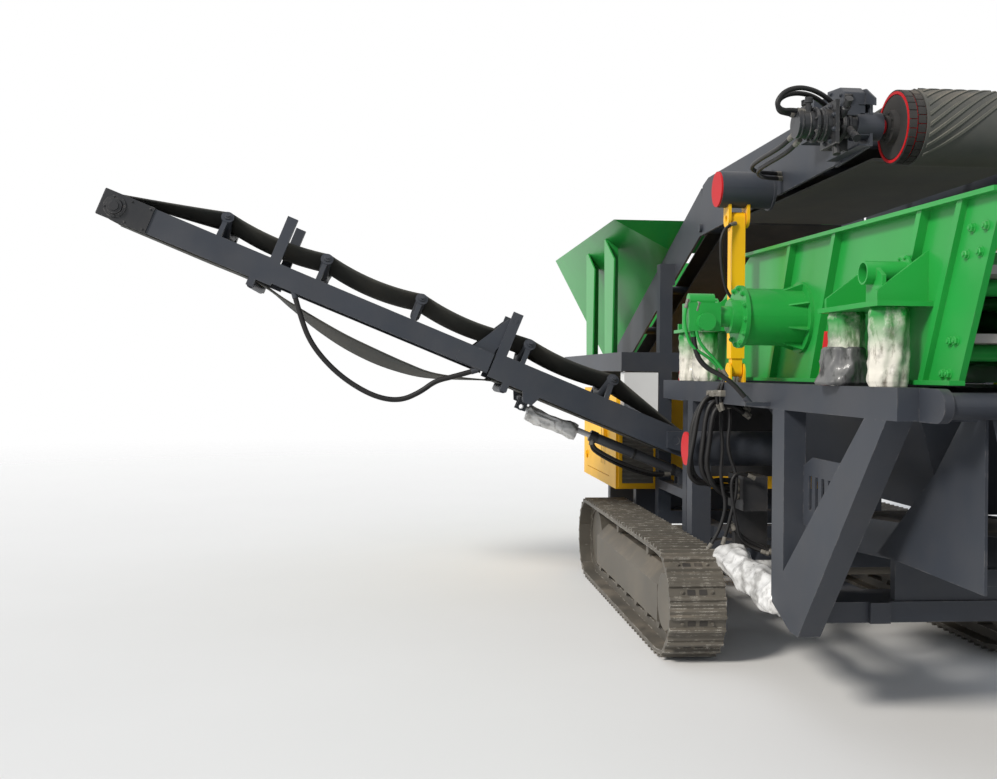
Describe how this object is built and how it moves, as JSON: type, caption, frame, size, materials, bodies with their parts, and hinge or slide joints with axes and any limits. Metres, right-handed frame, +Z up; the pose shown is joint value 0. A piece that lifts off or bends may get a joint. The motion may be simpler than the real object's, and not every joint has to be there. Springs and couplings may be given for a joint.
{
  "type": "mobile screening plant",
  "caption": "Tracked mobile screening plant: a feed hopper and main conveyor over a level vibrating screen, with folding side conveyors and a folding tail conveyor.",
  "frame": {"origin": "on the ground, midway along and across the machine", "axes": "+X from the feed hopper to the tail conveyor, +Y to the side away from the control box, +Z up"},
  "size_m": [12.85, 11.6836, 3.69],
  "materials": {
    "yellow_paint": "gloss paint",
    "green_paint": "gloss paint",
    "grey_paint": "satin paint",
    "red_paint": "gloss paint",
    "belt_rubber": "matt rubber",
    "track_steel": "worn steel",
    "track_frame_paint": "dusty paint",
    "spring_rubber": "wrapped rubber",
    "deck_mesh": "woven wire",
    "white_paint": "satin paint",
    "dark_steel": "matt paint",
    "wrapped_steel": "film wrapped",
    "rod_chrome": "polished"
  },
  "bodies": {
    "chassis": {"base_frame": "grey_paint", "control_box": "white_paint", "cross_caps": "red_paint", "cross_tube": "grey_paint", "engine": "dark_steel", "engine_cabinet": "yellow_paint", "exciter": "green_paint", "feed_hopper": "green_paint", "fines_hopper": "grey_paint", "gantries": "grey_paint", "hopper_frame": "grey_paint", "hopper_legs": "green_paint", "hose_exciter": "belt_rubber", "lock_brackets": "red_paint", "main_belt": "belt_rubber", "main_frame": "grey_paint", "radiator": "dark_steel", "screen_crossbars": "green_paint", "screen_decks": "deck_mesh", "screen_sides": "green_paint", "screen_springs": "spring_rubber", "splitter": "grey_paint", "spring_brackets": "green_paint", "strut_feet": "yellow_paint", "tail_lower_belt": "belt_rubber", "tail_lower_frame": "grey_paint", "top_rails": "grey_paint", "track_frames": "track_frame_paint", "track_left": "track_steel", "track_right": "track_steel", "undercarriage": "track_frame_paint", "v_legs": "grey_paint", "valve_bank": "dark_steel"},
    "head": {"head_frame": "grey_paint", "head_belt": "belt_rubber", "head_drum": "red_paint", "head_drive": "grey_paint", "pivot_caps": "red_paint", "strut_ears": "yellow_paint"},
    "tail_boom": {"tail_upper_frame": "grey_paint", "tail_upper_belt": "belt_rubber"},
    "strut_leg_left": {"strut_leg_left": "yellow_paint"},
    "strut_sleeve_left": {"strut_sleeve_left": "yellow_paint"},
    "side_base_left": {"side_base_left": "grey_paint", "side_base_belt_left": "belt_rubber"},
    "side_tip_left": {"side_tip_left": "grey_paint", "side_tip_belt_left": "belt_rubber", "hose_tip_left": "belt_rubber"},
    "lift_barrel_left": {"lift_barrel_left": "wrapped_steel"},
    "lift_rod_left": {"lift_rod_left": "rod_chrome"},
    "door_left": {"cabinet_door_left": "yellow_paint"},
    "strut_leg_right": {"strut_leg_right": "yellow_paint"},
    "strut_sleeve_right": {"strut_sleeve_right": "yellow_paint"},
    "side_base_right": {"side_base_right": "grey_paint", "side_base_belt_right": "belt_rubber"},
    "side_tip_right": {"side_tip_right": "grey_paint", "side_tip_belt_right": "belt_rubber"},
    "lift_barrel_right": {"lift_barrel_right": "wrapped_steel"},
    "lift_rod_right": {"lift_rod_right": "rod_chrome"},
    "door_right": {"cabinet_door_right": "yellow_paint"}
  },
  "joints": [
    {"name": "head_lift", "type": "hinge", "parent": "chassis", "child": "head", "pos_m": [-1.47, 0, 3.29], "axis": [0, -1, 0], "range_deg": [0, 18]},
    {"name": "tail_fold", "type": "hinge", "parent": "chassis", "child": "tail_boom", "pos_m": [3.035, 0, 1.905], "axis": [0, -1, 0], "range_deg": [0, 63]},
    {"name": "strut_tilt_left", "type": "hinge", "parent": "chassis", "child": "strut_leg_left", "pos_m": [0.275, -0.985, 2.06], "axis": [0, -1, 0], "range_deg": [0, 1.18]},
    {"name": "strut_slide_left", "type": "slide", "parent": "strut_leg_left", "child": "strut_sleeve_left", "axis": [0, 0, 1], "range_m": [0, 0.548]},
    {"name": "side_lift_left", "type": "hinge", "parent": "chassis", "child": "side_base_left", "pos_m": [-2.025, -0.93, 1.46], "axis": [-1, 0, 0], "range_deg": [0, 15]},
    {"name": "side_fold_left", "type": "hinge", "parent": "side_base_left", "child": "side_tip_left", "pos_m": [-2.025, -2.3237, 2.47963], "axis": [-1, 0, 0], "range_deg": [0, 75]},
    {"name": "lift_tilt_left", "type": "hinge", "parent": "chassis", "child": "lift_barrel_left", "pos_m": [-2.025, -0.72, 1.12], "axis": [-1, 0, 0], "range_deg": [0, 12]},
    {"name": "lift_slide_left", "type": "slide", "parent": "lift_barrel_left", "child": "lift_rod_left", "axis": [0, -0.9262, 0.377], "range_m": [0, 0.053]},
    {"name": "door_swing_left", "type": "hinge", "parent": "chassis", "child": "door_left", "pos_m": [-4.205, -1.254, 1.405], "axis": [0, 0, -1], "range_deg": [0, 100]},
    {"name": "strut_tilt_right", "type": "hinge", "parent": "chassis", "child": "strut_leg_right", "pos_m": [0.275, 0.985, 2.06], "axis": [0, -1, 0], "range_deg": [0, 1.18]},
    {"name": "strut_slide_right", "type": "slide", "parent": "strut_leg_right", "child": "strut_sleeve_right", "axis": [0, 0, 1], "range_m": [0, 0.548]},
    {"name": "side_lift_right", "type": "hinge", "parent": "chassis", "child": "side_base_right", "pos_m": [-2.025, 0.93, 1.46], "axis": [1, 0, 0], "range_deg": [0, 15]},
    {"name": "side_fold_right", "type": "hinge", "parent": "side_base_right", "child": "side_tip_right", "pos_m": [-2.025, 2.3237, 2.47963], "axis": [1, 0, 0], "range_deg": [0, 75]},
    {"name": "lift_tilt_right", "type": "hinge", "parent": "chassis", "child": "lift_barrel_right", "pos_m": [-2.025, 0.72, 1.12], "axis": [1, 0, 0], "range_deg": [0, 12]},
    {"name": "lift_slide_right", "type": "slide", "parent": "lift_barrel_right", "child": "lift_rod_right", "axis": [0, 0.9262, 0.377], "range_m": [0, 0.053]},
    {"name": "door_swing_right", "type": "hinge", "parent": "chassis", "child": "door_right", "pos_m": [-4.205, 1.254, 1.405], "axis": [0, 0, 1], "range_deg": [0, 100]}
  ],
  "couplings": [
    {"joint": "strut_tilt_left", "follows": "head_lift", "ratio": 0.065083},
    {"joint": "strut_slide_left", "follows": "head_lift", "m_per_rad": 1.744},
    {"joint": "lift_tilt_left", "follows": "side_lift_left", "ratio": 0.79238},
    {"joint": "lift_slide_left", "follows": "side_lift_left", "m_per_rad": 0.20058},
    {"joint": "strut_tilt_right", "follows": "head_lift", "ratio": 0.065083},
    {"joint": "strut_slide_right", "follows": "head_lift", "m_per_rad": 1.744},
    {"joint": "lift_tilt_right", "follows": "side_lift_right", "ratio": 0.79238},
    {"joint": "lift_slide_right", "follows": "side_lift_right", "m_per_rad": 0.20058}
  ]
}
